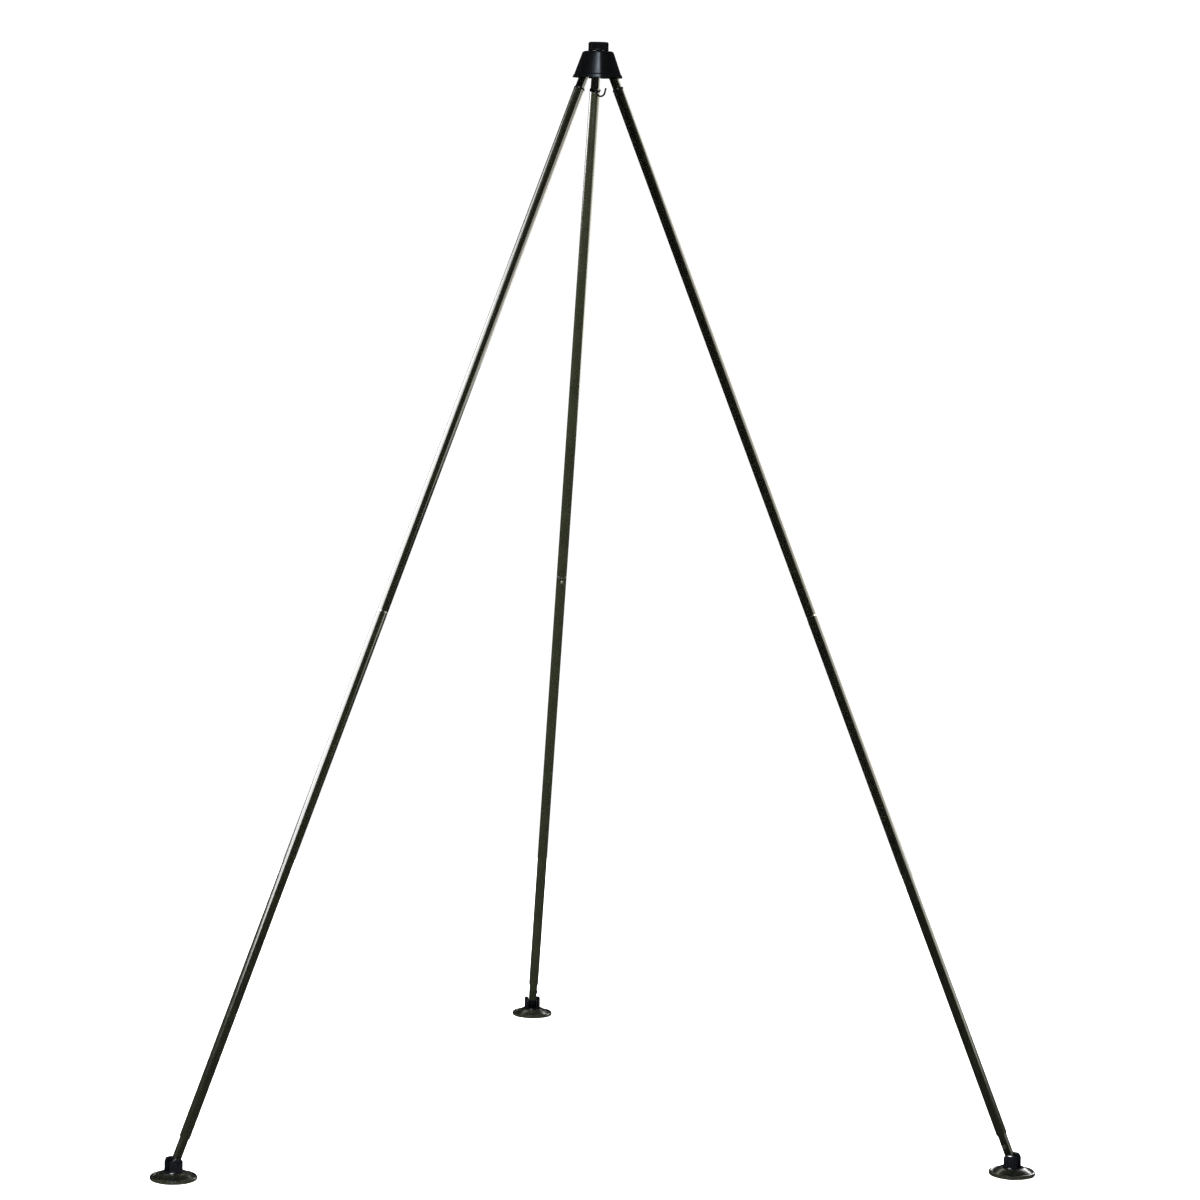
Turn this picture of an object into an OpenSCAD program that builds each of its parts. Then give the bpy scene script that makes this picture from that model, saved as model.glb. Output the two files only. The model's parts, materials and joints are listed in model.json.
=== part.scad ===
// Three-legged folding hanging stand: a moulded hub with a hook below it and a knob on top,
// three two-section tube legs, and a swivelling round foot under each leg.
// Millimetres, +Z up. The origin is on the ground, straight below the hub's centre.

/* [Stand] */
// Angle of each leg from the vertical when the stand is open
spread_angle = 23.4; // [15:0.1:30]
// Leg length from the hinge pin to the middle joint
upper_length = 1026; // [500:1:1400]
// Leg length from the middle joint to the foot pin
lower_length = 1000; // [500:1:1400]

/* [Hub cover] */
// Height of the hub cover
cover_h = 46.5; // [42:0.5:70]
// Half width of the cover's lower rim
cover_r = 44.3; // [43:0.1:60]
// How far each face's centre of curvature lies behind the hub's axis
face_offset = 8; // [0:0.5:12]
// Slope of the cover's side from the vertical
cover_slope = 19.7; // [12:0.1:21]
// Thickness of the cover's wall
cover_wall = 2.3; // [1.5:0.1:2.5]
// Thickness of the cover's roof
roof_t = 3.5; // [2:0.5:6]
// Rounding of the cover's upper edge
cover_round = 3.5; // [1:0.5:6]
// Height of the raised band around the cover's lower rim
rim_h = 6; // [3:0.5:10]
// How far the rim band stands out
rim_out = 0.9; // [0.3:0.1:2]

/* [Hub core] */
// Distance of each hinge pin from the hub's axis
hinge_r = 22; // [20:0.5:23]
// Height of the hinge pins above the cover's lower rim
hinge_h = 20; // [18:0.5:22]
// Radius of the hinge bolts' shanks
hinge_bolt_r = 3; // [2:0.25:3.5]
// Thickness of each hinge ear
ear_t = 5; // [3:0.5:6]
// Radius of the core's central boss
boss_r = 12; // [9:0.5:13]
// Thickness of the core's top plate
plate_t = 6.5; // [4:0.5:8]

/* [Knob] */
// Radius of the top knob over its ribs
knob_r = 17.7; // [15:0.1:22]
// Height of the top knob
knob_h = 15; // [10:0.5:25]
// Number of grip flutes around the knob
flute_count = 40; // [20:1:60]
// Radius of one grip flute
flute_r = 0.7; // [0.3:0.1:1]

/* [Hook] */
// Radius of the eye bolt's shank
eye_bolt_r = 4; // [3:0.25:5]
// Wire radius of the bolt's eye
eye_wire_r = 2.5; // [2:0.1:3]
// Wire radius of the hook
hook_wire_r = 1.6; // [1.4:0.1:2.5]
// Radius of the hook's bowl along the wire's centre
bowl_r = 9.5; // [7:0.5:12]
// How far the bowl's centre lies to the side of the shank
bowl_side = 6.9; // [4:0.1:8]
// Depth of the bowl's centre below the cover's lower rim
bowl_drop = 22.3; // [20:0.1:40]
// Length of the hook's straight tip
tip_length = 7; // [3:0.5:12]
// Direction of the hook's opening around the hub
hook_azimuth = 30; // [0:1:359]

/* [Tubes] */
// Outer radius of the upper and lower leg tubes
tube_r = 9.5; // [9:0.25:11]
// Wall thickness of the leg tubes
tube_wall = 1.2; // [0.8:0.1:2]
// Wall thickness of the foot stem
stem_wall = 1.2; // [0.8:0.1:2]
// Gap between the two leg tubes, filled by the ferrule's shoulder
joint_gap = 2; // [1:0.5:5]
// Length of the ferrule inside each leg tube
ferrule_grip = 72; // [40:1:120]
// Wall thickness of the ferrule
ferrule_wall = 1.5; // [1:0.1:3]
// Distance from the hinge pin to the top of the upper tube
tube_top = 45; // [42:1:70]
// Length of the hinge tongue's plug inside the upper tube
plug_length = 55; // [30:1:90]
// Distance from the foot pin to the end of the lower tube
stem_show = 51; // [40:1:90]
// Length of the foot stem inside the lower tube
stem_grip = 70; // [40:1:120]

/* [Feet] */
// Radius of the round feet
disc_r = 40; // [34:1:44]
// Height of the foot's rim
disc_rim = 6.5; // [3:0.5:8]
// Height of the foot's middle
disc_h = 13; // [12.5:0.5:18]
// Wall thickness of the foot
disc_wall = 3; // [2:0.5:4]
// Height of the foot pin above the ground
foot_pin_h = 21; // [20.5:0.5:26]
// Radius of the foot pin
foot_pin_r = 3; // [2:0.25:4]
// Width of the foot's clevis along the pin
clevis_w = 31.6; // [28:0.2:44]
// Radius of the clevis's rounded ears
clevis_r = 16; // [14:0.5:18]

/* [Fits] */
// Radial clearance of a turning or sliding fit
running_gap = 0.05; // [0.02:0.01:0.1]
// Radial clearance of a fixed fit
fixed_gap = 0.02; // [0.01:0.01:0.05]
// Side clearance of a tongue between its ears
side_gap = 0.25; // [0.1:0.05:0.4]
// Clearance between a leg and the rim that stops it
stop_gap = 0.3; // [0.1:0.1:0.6]

/* [Hidden] */
$fn = 96;
LEGS = [["back", 90], ["left", 210], ["right", 330]];
PARTS = ["hinge_tongue", "top_collar", "upper_tube", "lower_tube", "ferrule", "ferrule_rivet",
    "foot_stem", "stem_rivet", "swivel_eye", "foot_clevis", "clevis_pin", "foot_disc",
    "foot_washer", "foot_screw"];
HUB_PARTS = ["hub_cover", "hub_core", "hinge_bolts", "hinge_nuts", "eye_bolt", "knob_washer",
    "top_knob", "hook"];

eps = 0.01;
leg_length = upper_length + lower_length;
hinge_z = foot_pin_h + leg_length * cos(spread_angle);
foot_r = hinge_r + leg_length * sin(spread_angle);
rim_z = hinge_z - hinge_h;

// tubes
bore_r = tube_r - tube_wall;
plug_r = bore_r - 0.08;
stem_r = bore_r - 0.3;
eye_plug_r = stem_r - stem_wall - 0.05;
joint_top = -upper_length + joint_gap / 2;
joint_low = -upper_length - joint_gap / 2;
lower_end = -leg_length + stem_show;
collar_h = 3;
collar_r = tube_r + 0.4;

// hub cover, measured from the lower rim
slope = tan(cover_slope);
face_r = cover_r - rim_out + 0.86 * face_offset;
room_r = face_r - face_offset - cover_wall;
stub_r = min(plug_r, (room_r - stop_gap - hinge_r - hinge_h * tan(spread_angle)) * cos(spread_angle));
stub_reach = hinge_r + hinge_h * tan(spread_angle) + stub_r / cos(spread_angle);
tongue_t = 10;
slot_w = tongue_t + 2 * side_gap;
ear_out = slot_w / 2 + ear_t;
ear_r = stub_r - 0.2;
ear_reach = norm([hinge_r + ear_r * cos(cover_slope), ear_out])
    + slope * (hinge_h + ear_r * sin(cover_slope));
cavity_r = min(room_r, max(stub_reach, ear_reach) + stop_gap);
roof_z = cover_h - roof_t;
washer_t = 0.8;
knob_z = cover_h + washer_t;

// hinges
tongue_low = stub_r + 6;
bolt_head_h = 3.2;
bolt_head_r = hinge_bolt_r * 1.7;
nut_h = 5;
boss_low = hinge_h - 1;
plate_low = roof_z - plate_t;
plate_r = cavity_r - roof_z * slope - 1.2;

// hook, measured from the lower rim
eye_gap = 0.3;
loop_r = eye_wire_r + eye_gap + hook_wire_r;
loop_h = 4;
eye_r = hook_wire_r + eye_gap + 1.2 + eye_wire_r;
eye_h = loop_h + eye_r;
flange_h = 1.9;
bend_r = 5;
bend_angle = acos((bowl_side + bend_r) / (bowl_r + bend_r));
bend_h = -bowl_drop + (bowl_r + bend_r) * sin(bend_angle);
bowl_end = 345;

// feet
disc_flat = clevis_r + 5;
spigot_r = 13;
spigot_low = 4;
slot_floor = foot_pin_h - stem_r - 0.4;
clevis_slot = 2 * stem_r + 2 * side_gap + 0.3;
clevis_round = 4;
screw_r = 2.5;
screw_head_r = 5;
eye_top = stem_r + 6;
rivet_r = 2;
rivet_head_r = 3.2;

module on_hub() {
    translate([0, 0, rim_z])
        children();
}

module on_leg(azimuth) {
    rotate([0, 0, azimuth])
        translate([hinge_r, 0, hinge_z])
            rotate([0, -spread_angle, 0])
                children();
}

module on_foot(azimuth) {
    rotate([0, 0, azimuth])
        translate([foot_r, 0, 0])
            children();
}

// a cylinder along Y, centred on the origin
module pin_y(radius, length) {
    rotate([90, 0, 0])
        cylinder(r = radius, h = length, center = true);
}

module pipe(outer, inner, low, high) {
    translate([0, 0, low])
        difference() {
            cylinder(r = outer, h = high - low);
            translate([0, 0, -1])
                cylinder(r = inner, h = high - low + 2);
        }
}

module ring(radius, wire) {
    rotate_extrude()
        translate([radius, 0])
            circle(r = wire, $fn = 48);
}

// one face of the cover: a cone whose axis lies behind the hub's axis
module face_cone(base_r, height) {
    cylinder(r1 = base_r, r2 = base_r - slope * height, h = height);
}

// the same cone with its upper edge rounded
module round_cone(base_r, height, round_r) {
    mid_z = height - round_r;
    mid_r = base_r - slope * mid_z - round_r / cos(cover_slope);
    rotate_extrude() {
        polygon([
            [0, 0], [base_r, 0],
            [mid_r + round_r * cos(cover_slope), mid_z + round_r * sin(cover_slope)],
            [mid_r, height], [0, height]
        ]);
        translate([mid_r, mid_z])
            circle(r = round_r, $fn = 48);
    }
}

// a child turned to one leg's azimuth, its axis behind the hub's
module behind_axis(azimuth) {
    rotate([0, 0, azimuth])
        translate([-face_offset, 0, 0])
            children();
}

// three cones that meet in creases half way between the legs
module three_cones(base_r, height) {
    intersection() {
        behind_axis(LEGS[0][1]) face_cone(base_r, height);
        behind_axis(LEGS[1][1]) face_cone(base_r, height);
        behind_axis(LEGS[2][1]) face_cone(base_r, height);
    }
}

module three_round_cones(base_r, height, round_r) {
    intersection() {
        behind_axis(LEGS[0][1]) round_cone(base_r, height, round_r);
        behind_axis(LEGS[1][1]) round_cone(base_r, height, round_r);
        behind_axis(LEGS[2][1]) round_cone(base_r, height, round_r);
    }
}

module hub_cover() {
    color("#15171b")
        on_hub()
            difference() {
                union() {
                    three_round_cones(face_r, cover_h, cover_round);
                    three_cones(face_r + rim_out, rim_h);
                }
                translate([0, 0, -1])
                    cylinder(r1 = cavity_r + slope, r2 = cavity_r - slope * roof_z,
                        h = roof_z + 1);
                cylinder(r = eye_bolt_r + 0.4, h = cover_h + 1);
            }
}

module hinge_ear() {
    rotate([90, 0, 0])
        linear_extrude(ear_t) {
            translate([hinge_r, hinge_h])
                circle(r = ear_r);
            polygon([
                [hinge_r - ear_r, hinge_h], [hinge_r + ear_r, hinge_h],
                [plate_r - 0.5, plate_low + 1], [boss_r - 4, plate_low + 1],
                [boss_r - 4, hinge_h]
            ]);
        }
}

module hub_core() {
    color("#1d1f22")
        on_hub()
            difference() {
                union() {
                    translate([0, 0, boss_low])
                        cylinder(r = boss_r, h = roof_z - boss_low);
                    translate([0, 0, plate_low])
                        cylinder(r = plate_r, h = plate_t);
                    for (leg = LEGS)
                        rotate([0, 0, leg[1]]) {
                            translate([0, ear_out, 0])
                                hinge_ear();
                            translate([0, ear_t - ear_out, 0])
                                hinge_ear();
                        }
                }
                translate([0, 0, boss_low - 1])
                    cylinder(r = eye_bolt_r + running_gap, h = roof_z);
                for (leg = LEGS)
                    rotate([0, 0, leg[1]])
                        translate([hinge_r, 0, hinge_h])
                            pin_y(hinge_bolt_r + fixed_gap, 2 * ear_out + 2);
            }
}

module hinge_bolts() {
    color("#8c8f93")
        on_hub()
            for (leg = LEGS)
                rotate([0, 0, leg[1]])
                    translate([hinge_r, 0, hinge_h])
                        rotate([-90, 0, 0]) {
                            translate([0, 0, -ear_out - bolt_head_h])
                                cylinder(r1 = bolt_head_r - 1, r2 = bolt_head_r, h = 1);
                            translate([0, 0, -ear_out - bolt_head_h + 1])
                                cylinder(r = bolt_head_r, h = bolt_head_h - 1);
                            translate([0, 0, -ear_out - 1])
                                cylinder(r = hinge_bolt_r, h = 2 * ear_out + nut_h);
                        }
}

module hinge_nuts() {
    color("#8c8f93")
        on_hub()
            for (leg = LEGS)
                rotate([0, 0, leg[1]])
                    translate([hinge_r, ear_out, hinge_h])
                        rotate([-90, 0, 0])
                            difference() {
                                cylinder(r = bolt_head_r + 0.5, h = nut_h, $fn = 6);
                                translate([0, 0, -1])
                                    cylinder(r = hinge_bolt_r + fixed_gap, h = nut_h + 2);
                            }
}

module eye_bolt() {
    color("#b9bcc0")
        on_hub() {
            translate([0, 0, boss_low - 0.1 - flange_h])
                cylinder(r = 7, h = flange_h);
            translate([0, 0, boss_low - 0.1 - flange_h])
                cylinder(r = eye_bolt_r, h = knob_z + knob_h - 5 - boss_low + 0.1 + flange_h);
            translate([0, 0, eye_h])
                rotate([0, 0, hook_azimuth])
                    rotate([0, 90, 0])
                        ring(eye_r, eye_wire_r);
            translate([0, 0, eye_h + eye_r])
                cylinder(r = eye_wire_r + 0.6, h = boss_low - eye_h - eye_r);
        }
}

module knob_washer() {
    color("#9a9da1")
        on_hub()
            pipe(11, eye_bolt_r + 0.3, cover_h, knob_z - 0.1);
}

module top_knob() {
    cap_h = 1.6;
    foot_h = 1.8;
    color("#101114")
        on_hub()
            translate([0, 0, knob_z])
                difference() {
                    union() {
                        cylinder(r = knob_r + 0.4, h = foot_h);
                        difference() {
                            cylinder(r = knob_r, h = knob_h - cap_h);
                            for (i = [0:flute_count - 1])
                                rotate([0, 0, i * 360 / flute_count])
                                    translate([knob_r + flute_r * 0.3, 0, foot_h])
                                        cylinder(r = flute_r, h = knob_h, $fn = 24);
                        }
                        translate([0, 0, knob_h - cap_h])
                            cylinder(r1 = knob_r - 0.4, r2 = knob_r - 1.4, h = cap_h);
                    }
                    translate([0, 0, -1])
                        cylinder(r = eye_bolt_r + fixed_gap, h = knob_h - 4 + fixed_gap);
                }
}

module hook() {
    color("#a9adb2")
        on_hub()
            rotate([0, 0, hook_azimuth])
                rotate([90, 0, 0]) {
                    translate([0, loop_h])
                        ring(loop_r, hook_wire_r);
                    translate([0, bend_h])
                        rotate([-90, 0, 0])
                            cylinder(r = hook_wire_r, h = loop_h - loop_r - bend_h);
                    translate([-bend_r, bend_h]) {
                        hook_arc(bend_r, -bend_angle, bend_angle);
                        hook_knot(bend_r, 0);
                        hook_knot(bend_r, -bend_angle);
                    }
                    translate([bowl_side, -bowl_drop]) {
                        hook_arc(bowl_r, 180 - bend_angle, bowl_end - 180 + bend_angle);
                        hook_knot(bowl_r, bowl_end);
                        rotate([0, 0, bowl_end])
                            translate([bowl_r, 0])
                                rotate([-90, 0, 0]) {
                                    cylinder(r = hook_wire_r, h = tip_length);
                                    translate([0, 0, tip_length])
                                        sphere(r = hook_wire_r + 0.04, $fn = 48);
                                }
                    }
                }
}

// a hardly raised ball that joins two stretches of the hook's wire
module hook_knot(radius, angle) {
    rotate([0, 0, angle])
        translate([radius, 0])
            sphere(r = hook_wire_r + 0.04, $fn = 48);
}

module hook_arc(radius, start, sweep) {
    rotate([0, 0, start])
        rotate_extrude(angle = sweep)
            translate([radius, 0])
                circle(r = hook_wire_r, $fn = 48);
}

module hinge_tongue(azimuth) {
    color("#3a3d2b")
        on_leg(azimuth)
            difference() {
                union() {
                    intersection() {
                        union() {
                            pin_y(stub_r, 2 * stub_r);
                            translate([0, 0, -tongue_low - 1])
                                cylinder(r = stub_r, h = tongue_low + 1);
                        }
                        translate([0, 0, -stub_r])
                            cube([4 * stub_r, tongue_t, 4 * stub_r], center = true);
                    }
                    translate([0, 0, -tube_top])
                        cylinder(r = stub_r, h = tube_top - tongue_low);
                    translate([0, 0, -tube_top - plug_length])
                        cylinder(r = plug_r, h = plug_length + collar_h);
                }
                pin_y(hinge_bolt_r + running_gap, tongue_t + 2);
            }
}

module top_collar(azimuth) {
    color("#101214")
        on_leg(azimuth)
            pipe(collar_r, plug_r + fixed_gap, -tube_top, collar_h - tube_top);
}

module upper_tube(azimuth) {
    color("#3a3d2b")
        on_leg(azimuth)
            pipe(tube_r, bore_r, joint_top + 0.05, -tube_top);
}

module lower_tube(azimuth) {
    color("#3a3d2b")
        on_leg(azimuth)
            difference() {
                pipe(tube_r, bore_r, lower_end, joint_low);
                rivet_hole(joint_low - 10);
            }
}

// a hole for a rivet through the inner side of the leg
module rivet_hole(height) {
    translate([0, 0, height])
        rotate([0, -90, 0])
            cylinder(r = rivet_r + fixed_gap, h = tube_r + 1);
}

module ferrule(azimuth) {
    color("#c4c6c8")
        on_leg(azimuth)
            difference() {
                union() {
                    translate([0, 0, joint_low - ferrule_grip])
                        cylinder(r = plug_r, h = 2 * ferrule_grip + joint_gap);
                    translate([0, 0, joint_low])
                        cylinder(r = tube_r - 0.4, h = joint_gap);
                }
                translate([0, 0, joint_low - ferrule_grip - 1])
                    cylinder(r = plug_r - ferrule_wall, h = 2 * ferrule_grip + joint_gap + 2);
                rivet_hole(joint_low - 10);
            }
}

module ferrule_rivet(azimuth) {
    color("#55584a")
        on_leg(azimuth)
            translate([0, 0, joint_low - 10])
                rotate([0, -90, 0]) {
                    translate([0, 0, plug_r - ferrule_wall - 0.5])
                        cylinder(r = rivet_r, h = tube_r - plug_r + ferrule_wall + 0.9);
                    intersection() {
                        difference() {
                            cylinder(r = rivet_head_r, h = tube_r + 2);
                            rotate([0, 90, 0])
                                cylinder(r = tube_r, h = 4 * rivet_head_r, center = true);
                        }
                        translate([0, 0, tube_r - 4.6])
                            sphere(r = 5.6, $fn = 48);
                    }
                }
}

module foot_stem(azimuth) {
    color("#3d402e")
        on_leg(azimuth)
            difference() {
                pipe(stem_r, stem_r - stem_wall, eye_top - leg_length, lower_end + stem_grip);
                translate([0, 0, -leg_length + 30])
                    rotate([90, 0, 0])
                        cylinder(r = rivet_r + fixed_gap, h = stem_r + 1);
            }
}

module stem_rivet(azimuth) {
    color("#6a6d5c")
        on_leg(azimuth)
            translate([0, 0, -leg_length + 30])
                rotate([90, 0, 0]) {
                    cylinder(r = rivet_r, h = stem_r + 0.5);
                    intersection() {
                        difference() {
                            cylinder(r = rivet_head_r, h = stem_r + 3);
                            rotate([90, 0, 0])
                                cylinder(r = stem_r, h = 4 * rivet_head_r, center = true);
                        }
                        translate([0, 0, stem_r - 1.6])
                            sphere(r = 3.6, $fn = 48);
                    }
                }
}

module swivel_eye(azimuth) {
    color("#14161a")
        on_leg(azimuth)
            translate([0, 0, -leg_length])
                difference() {
                    union() {
                        intersection() {
                            pin_y(stem_r, 2 * stem_r + 2);
                            translate([0, 0, -stem_r])
                                cylinder(r = stem_r, h = 2 * stem_r);
                        }
                        cylinder(r = stem_r, h = eye_top);
                        cylinder(r = eye_plug_r, h = eye_top + 40);
                    }
                    pin_y(foot_pin_r + running_gap, 2 * stem_r + 2);
                    translate([0, 0, 30])
                        rotate([90, 0, 0])
                            translate([0, 0, -fixed_gap])
                                cylinder(r = rivet_r + fixed_gap, h = stem_r + 1);
                }
}

// side view of the clevis along the pin, from the disc's seat up
module clevis_side() {
    translate([0, foot_pin_h])
        circle(r = clevis_r);
    translate([-clevis_r, disc_h])
        square([2 * clevis_r, foot_pin_h - disc_h]);
}

// front view of the clevis across the pin, with rounded shoulders
module clevis_front() {
    half_w = clevis_w / 2;
    high = foot_pin_h + clevis_r;
    translate([-half_w, disc_h])
        square([clevis_w, high - disc_h - clevis_round]);
    translate([clevis_round - half_w, disc_h])
        square([clevis_w - 2 * clevis_round, high - disc_h]);
    for (side = [-1, 1])
        translate([side * (half_w - clevis_round), high - clevis_round])
            circle(r = clevis_round, $fn = 48);
}

module foot_clevis(azimuth) {
    color("#14161a")
        on_foot(azimuth)
            difference() {
                union() {
                    intersection() {
                        rotate([90, 0, 0])
                            translate([0, 0, -clevis_w / 2 - 1])
                                linear_extrude(clevis_w + 2)
                                    clevis_side();
                        rotate([90, 0, 90])
                            translate([0, 0, -clevis_r - 1])
                                linear_extrude(2 * clevis_r + 2)
                                    clevis_front();
                        cylinder(r = clevis_w / 2, h = foot_pin_h + clevis_r);
                    }
                    translate([0, 0, disc_h])
                        cylinder(r1 = clevis_w / 2 + 1.6, r2 = clevis_w / 2 - 0.5, h = 1.6);
                    translate([0, 0, spigot_low])
                        cylinder(r = spigot_r, h = disc_h - spigot_low + 1);
                }
                translate([-clevis_w, -clevis_slot / 2, disc_h + 0.5])
                    cube([2 * clevis_w, clevis_slot, 2 * clevis_r]);
                translate([0, 0, foot_pin_h])
                    pin_y(foot_pin_h - slot_floor, clevis_slot);
                translate([0, 0, foot_pin_h])
                    pin_y(foot_pin_r + fixed_gap, clevis_w + 2);
                translate([0, 0, spigot_low - 1])
                    cylinder(r = screw_r + fixed_gap, h = slot_floor - spigot_low - 0.5);
            }
}

module clevis_pin(azimuth) {
    color("#26282b")
        on_foot(azimuth)
            translate([0, 0, foot_pin_h]) {
                pin_y(foot_pin_r, clevis_w - 2.4);
                pin_y(foot_pin_r - 0.6, clevis_w - 1.2);
            }
}

module foot_disc(azimuth) {
    lip_r = disc_rim / 2 - 0.25;
    groove_r = disc_r - 2 * lip_r - 0.5;
    groove_z = disc_rim - 1.8;
    crown_z = disc_h - groove_z;
    color("#3b3a28")
        on_foot(azimuth)
            rotate_extrude() {
                difference() {
                    union() {
                        polygon([
                            [spigot_r + fixed_gap, 0], [disc_r - lip_r, 0],
                            [disc_r - lip_r, groove_z], [groove_r, groove_z],
                            [groove_r - 1.5, groove_z + 0.16 * crown_z],
                            [disc_flat + 0.5 * (groove_r - disc_flat), disc_h - 0.48 * crown_z],
                            [disc_flat + 0.25 * (groove_r - disc_flat), disc_h - 0.21 * crown_z],
                            [disc_flat + 1, disc_h - 0.5], [disc_flat, disc_h],
                            [spigot_r + fixed_gap, disc_h]
                        ]);
                        translate([disc_r - lip_r, disc_rim - lip_r])
                            circle(r = lip_r, $fn = 48);
                        translate([disc_r - 2 * lip_r, 0])
                            square([2 * lip_r, disc_rim - lip_r]);
                    }
                    polygon([
                        [spigot_r + 5, -1], [disc_r - 5, -1], [disc_r - 5, 0.5],
                        [disc_flat + 1, disc_h - 2.4 - disc_wall],
                        [spigot_r + 5, disc_h - 2.4 - disc_wall]
                    ]);
                    translate([0, -1])
                        square([spigot_r + 3, spigot_low + 1]);
                }
            }
}

module foot_washer(azimuth) {
    color("#9a9da1")
        on_foot(azimuth)
            pipe(spigot_r + 2, screw_r + fixed_gap, spigot_low - 1.5, spigot_low);
}

module foot_screw(azimuth) {
    color("#8c8f93")
        on_foot(azimuth)
            difference() {
                union() {
                    translate([0, 0, 0.4])
                        cylinder(r = screw_head_r, h = spigot_low - 1.9);
                    translate([0, 0, spigot_low - 2])
                        cylinder(r = screw_r, h = slot_floor - spigot_low - 0.2);
                }
                translate([-screw_head_r, -0.6, 0])
                    cube([2 * screw_head_r, 1.2, 1.2]);
            }
}

hub_cover();
hub_core();
hinge_bolts();
hinge_nuts();
eye_bolt();
knob_washer();
top_knob();
hook();
for (leg = LEGS) {
    name = leg[0];
    azimuth = leg[1];
    hinge_tongue(azimuth);
    top_collar(azimuth);
    upper_tube(azimuth);
    lower_tube(azimuth);
    ferrule(azimuth);
    ferrule_rivet(azimuth);
    foot_stem(azimuth);
    stem_rivet(azimuth);
    swivel_eye(azimuth);
    foot_clevis(azimuth);
    clevis_pin(azimuth);
    foot_disc(azimuth);
    foot_washer(azimuth);
    foot_screw(azimuth);
}
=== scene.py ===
# %% [markdown]
# # A folding tripod hanging stand
# Three tube legs meet in a small black hub, and a hook hangs under it. Each leg is two lengths of
# steel tube that plug together, and each foot is a round plate on a knuckle. The solid model of the
# stand is the frame of this lesson: it says where every piece is and how it moves. Here the pieces
# get the shapes and finishes that the eye sees. Loading the frame comes first.

# %% Load the frame
import json
import bmesh
import bpy
import numpy as np
from mathutils import Matrix, Vector


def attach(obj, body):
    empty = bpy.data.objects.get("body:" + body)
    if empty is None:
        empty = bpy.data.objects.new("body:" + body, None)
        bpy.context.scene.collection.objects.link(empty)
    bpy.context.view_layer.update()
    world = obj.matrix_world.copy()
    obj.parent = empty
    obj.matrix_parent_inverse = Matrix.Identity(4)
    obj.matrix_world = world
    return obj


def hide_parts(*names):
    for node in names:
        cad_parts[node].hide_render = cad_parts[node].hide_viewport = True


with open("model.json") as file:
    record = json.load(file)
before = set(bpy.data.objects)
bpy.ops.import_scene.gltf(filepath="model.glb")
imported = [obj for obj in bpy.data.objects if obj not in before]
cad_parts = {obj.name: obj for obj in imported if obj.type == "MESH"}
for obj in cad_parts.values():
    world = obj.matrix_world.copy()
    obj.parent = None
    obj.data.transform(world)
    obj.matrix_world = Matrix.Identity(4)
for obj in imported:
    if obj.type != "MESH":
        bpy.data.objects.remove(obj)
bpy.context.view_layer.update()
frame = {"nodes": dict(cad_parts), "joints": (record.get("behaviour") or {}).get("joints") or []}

JOINT = {joint["name"]: joint for joint in frame["joints"]}
MM = 0.001
print("pieces in the frame:", len(frame["nodes"]), "joints:", len(JOINT))

# %% [markdown]
# ## Where things are
# A leg is easiest to shape standing upright, with its hinge pin at the origin and its foot straight
# below. So each leg gets a small set of axes of its own: up the leg, along the pin, and outwards.
# The joints already know them. The slide that pulls the lower tube out runs down the leg, and the
# fold turns about the pin. The hub and the feet only need a place to stand.

# %% Axes of the legs, the feet and the hub
LEGS = ("back", "left", "right")


def place(origin, x, y, z):
    """Rows are a piece's own three axes as seen in the frame, and the place of its origin."""
    return np.array([x, y, z, origin], dtype=float)


def leg_axes(leg):
    up = -np.array(JOINT[f"{leg}_section_pull"]["axis"])
    pin = np.array(JOINT[f"{leg}_leg_fold"]["axis"])
    return place(JOINT[f"{leg}_leg_fold"]["pos_m"], np.cross(pin, up), pin, up)


def foot_axes(leg):
    pin = np.array(JOINT[f"{leg}_foot_swivel"]["axis"])
    x, y, _ = JOINT[f"{leg}_foot_swivel"]["pos_m"]
    return place((x, y, 0), np.cross(pin, (0, 0, 1)), pin, (0, 0, 1))


RIM_Z = JOINT["knob_turn"]["pos_m"][2]
HUB = place((0, 0, RIM_Z), (1, 0, 0), (0, 1, 0), (0, 0, 1))
PIN_Z = JOINT["back_foot_swivel"]["pos_m"][2]
LEG_LENGTH = np.linalg.norm(np.subtract(JOINT["back_foot_swivel"]["pos_m"],
                                        JOINT["back_leg_fold"]["pos_m"]))
print(f"rim of the hub {RIM_Z:.4f} m up, legs {LEG_LENGTH:.4f} m from pin to pin")

# %% [markdown]
# ## Making a skin out of a grid
# Every new piece is a grid of points. One direction of the grid usually goes round the piece, and
# the other goes along its outline. A function works all the points out at once, and this cell turns
# them into faces. Where a row shrinks to one point, as at the tip of a dome, the doubles are merged
# so that the skin is closed. The volume inside tells which way the faces point: if it comes out
# negative, the skin is inside out and is turned round.

# %% Grids to meshes
def grid_faces(rows, columns, round_rows, round_columns):
    """Each face joins four neighbours of the grid. A round direction joins its end to its start."""
    i = np.arange(rows if round_rows else rows - 1)[:, None]
    j = np.arange(columns if round_columns else columns - 1)[None, :]
    i2, j2 = (i + 1) % rows, (j + 1) % columns
    return np.stack([i * columns + j, i2 * columns + j, i2 * columns + j2, i * columns + j2],
                    axis=-1).reshape(-1, 4)


def volume_inside(points, faces):
    """A sixth of the sum of triple products over the triangles of the skin."""
    a, b, c, d = (points[faces[:, k]] for k in range(4))
    return (np.einsum("ij,ij->i", a, np.cross(b, c)) + np.einsum("ij,ij->i", a, np.cross(c, d))
            ).sum() / 6


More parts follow.
